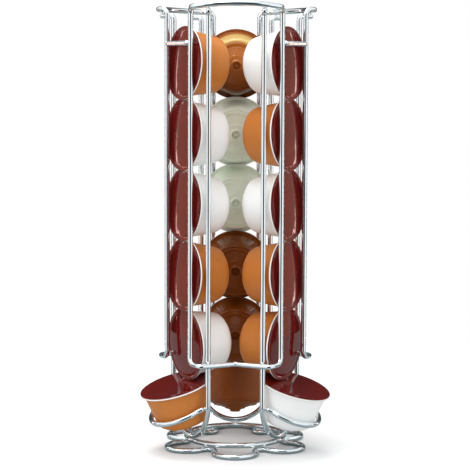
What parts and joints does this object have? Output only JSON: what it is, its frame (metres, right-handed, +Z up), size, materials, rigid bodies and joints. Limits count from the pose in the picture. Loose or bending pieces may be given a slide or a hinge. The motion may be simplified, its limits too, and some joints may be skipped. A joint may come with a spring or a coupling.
{
  "type": "coffee capsule dispenser",
  "caption": "Chromed wire tower holding stacked coffee capsules in upright channels, the lowest of each tipped out in a cradle, on a flat scalloped wire base.",
  "frame": {"origin": "middle of the whole object's bounding box, at the table top", "axes": "+Z up along the tower; -Y towards the viewer, where the window between the two front columns is; +X to the viewer's right"},
  "size_m": [0.1412, 0.1358, 0.3334],
  "materials": {
    "chrome_wire": "bright polished chrome plating",
    "foil_lid": "glossy lacquered foil, dark red",
    "white_cup": "smooth moulded plastic, softly glossy",
    "cream_cup": "smooth moulded plastic, softly glossy, a little translucent",
    "orange_cup": "smooth moulded plastic, softly glossy",
    "caramel_cup": "smooth moulded plastic, softly glossy",
    "brown_cup": "smooth moulded plastic, softly glossy"
  },
  "bodies": {
    "stand": {"base_rosette": "chrome_wire", "base_ring": "chrome_wire", "front_panel_loop": "chrome_wire", "right_rear_panel_loop": "chrome_wire", "left_rear_panel_loop": "chrome_wire", "left_hairpin": "chrome_wire", "left_cradle": "chrome_wire", "left_top_strap": "chrome_wire", "right_hairpin": "chrome_wire", "right_cradle": "chrome_wire", "right_top_strap": "chrome_wire", "rear_hairpin": "chrome_wire", "rear_cradle": "chrome_wire", "rear_top_strap": "chrome_wire"},
    "left_capsule_1": {"left_capsule_1_cup": "white_cup", "left_capsule_1_lid": "foil_lid"},
    "left_capsule_2": {"left_capsule_2_cup": "orange_cup", "left_capsule_2_lid": "foil_lid"},
    "left_capsule_3": {"left_capsule_3_cup": "white_cup", "left_capsule_3_lid": "foil_lid"},
    "left_capsule_4": {"left_capsule_4_cup": "white_cup", "left_capsule_4_lid": "foil_lid"},
    "left_capsule_5": {"left_capsule_5_cup": "orange_cup", "left_capsule_5_lid": "foil_lid"},
    "left_served_capsule": {"left_served_capsule_cup": "orange_cup", "left_served_capsule_lid": "foil_lid"},
    "right_capsule_1": {"right_capsule_1_cup": "orange_cup", "right_capsule_1_lid": "foil_lid"},
    "right_capsule_2": {"right_capsule_2_cup": "orange_cup", "right_capsule_2_lid": "foil_lid"},
    "right_capsule_3": {"right_capsule_3_cup": "white_cup", "right_capsule_3_lid": "foil_lid"},
    "right_capsule_4": {"right_capsule_4_cup": "orange_cup", "right_capsule_4_lid": "foil_lid"},
    "right_capsule_5": {"right_capsule_5_cup": "white_cup", "right_capsule_5_lid": "foil_lid"},
    "right_served_capsule": {"right_served_capsule_cup": "white_cup", "right_served_capsule_lid": "foil_lid"},
    "rear_capsule_1": {"rear_capsule_1_cup": "brown_cup", "rear_capsule_1_lid": "foil_lid"},
    "rear_capsule_2": {"rear_capsule_2_cup": "brown_cup", "rear_capsule_2_lid": "foil_lid"},
    "rear_capsule_3": {"rear_capsule_3_cup": "cream_cup", "rear_capsule_3_lid": "foil_lid"},
    "rear_capsule_4": {"rear_capsule_4_cup": "cream_cup", "rear_capsule_4_lid": "foil_lid"},
    "rear_capsule_5": {"rear_capsule_5_cup": "caramel_cup", "rear_capsule_5_lid": "foil_lid"},
    "rear_served_capsule": {"rear_served_capsule_cup": "brown_cup", "rear_served_capsule_lid": "foil_lid"}
  },
  "joints": [
    {"name": "left_served_tip", "type": "hinge", "parent": "stand", "child": "left_served_capsule", "pos_m": [-0.05802, -0.04313, 0.025], "axis": [0.5, -0.866, 0], "range_deg": [0, 50]},
    {"name": "left_capsule_1_lift", "type": "slide", "parent": "stand", "child": "left_capsule_1", "axis": [0, 0, 1], "range_m": [0, 0.044]},
    {"name": "left_capsule_2_lift", "type": "slide", "parent": "left_capsule_1", "child": "left_capsule_2", "axis": [0, 0, 1], "range_m": [0, 0.236]},
    {"name": "left_capsule_3_lift", "type": "slide", "parent": "left_capsule_2", "child": "left_capsule_3", "axis": [0, 0, 1], "range_m": [0, 0.184]},
    {"name": "left_capsule_4_lift", "type": "slide", "parent": "left_capsule_3", "child": "left_capsule_4", "axis": [0, 0, 1], "range_m": [0, 0.132]},
    {"name": "left_capsule_5_lift", "type": "slide", "parent": "left_capsule_4", "child": "left_capsule_5", "axis": [0, 0, 1], "range_m": [0, 0.08]},
    {"name": "right_served_tip", "type": "hinge", "parent": "stand", "child": "right_served_capsule", "pos_m": [0.05802, -0.04313, 0.025], "axis": [0.5, 0.866, 0], "range_deg": [0, 50]},
    {"name": "right_capsule_1_lift", "type": "slide", "parent": "stand", "child": "right_capsule_1", "axis": [0, 0, 1], "range_m": [0, 0.044]},
    {"name": "right_capsule_2_lift", "type": "slide", "parent": "right_capsule_1", "child": "right_capsule_2", "axis": [0, 0, 1], "range_m": [0, 0.236]},
    {"name": "right_capsule_3_lift", "type": "slide", "parent": "right_capsule_2", "child": "right_capsule_3", "axis": [0, 0, 1], "range_m": [0, 0.184]},
    {"name": "right_capsule_4_lift", "type": "slide", "parent": "right_capsule_3", "child": "right_capsule_4", "axis": [0, 0, 1], "range_m": [0, 0.132]},
    {"name": "right_capsule_5_lift", "type": "slide", "parent": "right_capsule_4", "child": "right_capsule_5", "axis": [0, 0, 1], "range_m": [0, 0.08]},
    {"name": "rear_served_tip", "type": "hinge", "parent": "stand", "child": "rear_served_capsule", "pos_m": [0, 0.05737, 0.025], "axis": [-1, 0, 0], "range_deg": [0, 50]},
    {"name": "rear_capsule_1_lift", "type": "slide", "parent": "stand", "child": "rear_capsule_1", "axis": [0, 0, 1], "range_m": [0, 0.044]},
    {"name": "rear_capsule_2_lift", "type": "slide", "parent": "rear_capsule_1", "child": "rear_capsule_2", "axis": [0, 0, 1], "range_m": [0, 0.236]},
    {"name": "rear_capsule_3_lift", "type": "slide", "parent": "rear_capsule_2", "child": "rear_capsule_3", "axis": [0, 0, 1], "range_m": [0, 0.184]},
    {"name": "rear_capsule_4_lift", "type": "slide", "parent": "rear_capsule_3", "child": "rear_capsule_4", "axis": [0, 0, 1], "range_m": [0, 0.132]},
    {"name": "rear_capsule_5_lift", "type": "slide", "parent": "rear_capsule_4", "child": "rear_capsule_5", "axis": [0, 0, 1], "range_m": [0, 0.08]}
  ],
  "couplings": [
    {"joint": "left_capsule_1_lift", "follows": "left_served_tip", "m_per_rad": 0.05},
    {"joint": "right_capsule_1_lift", "follows": "right_served_tip", "m_per_rad": 0.05},
    {"joint": "rear_capsule_1_lift", "follows": "rear_served_tip", "m_per_rad": 0.05}
  ]
}
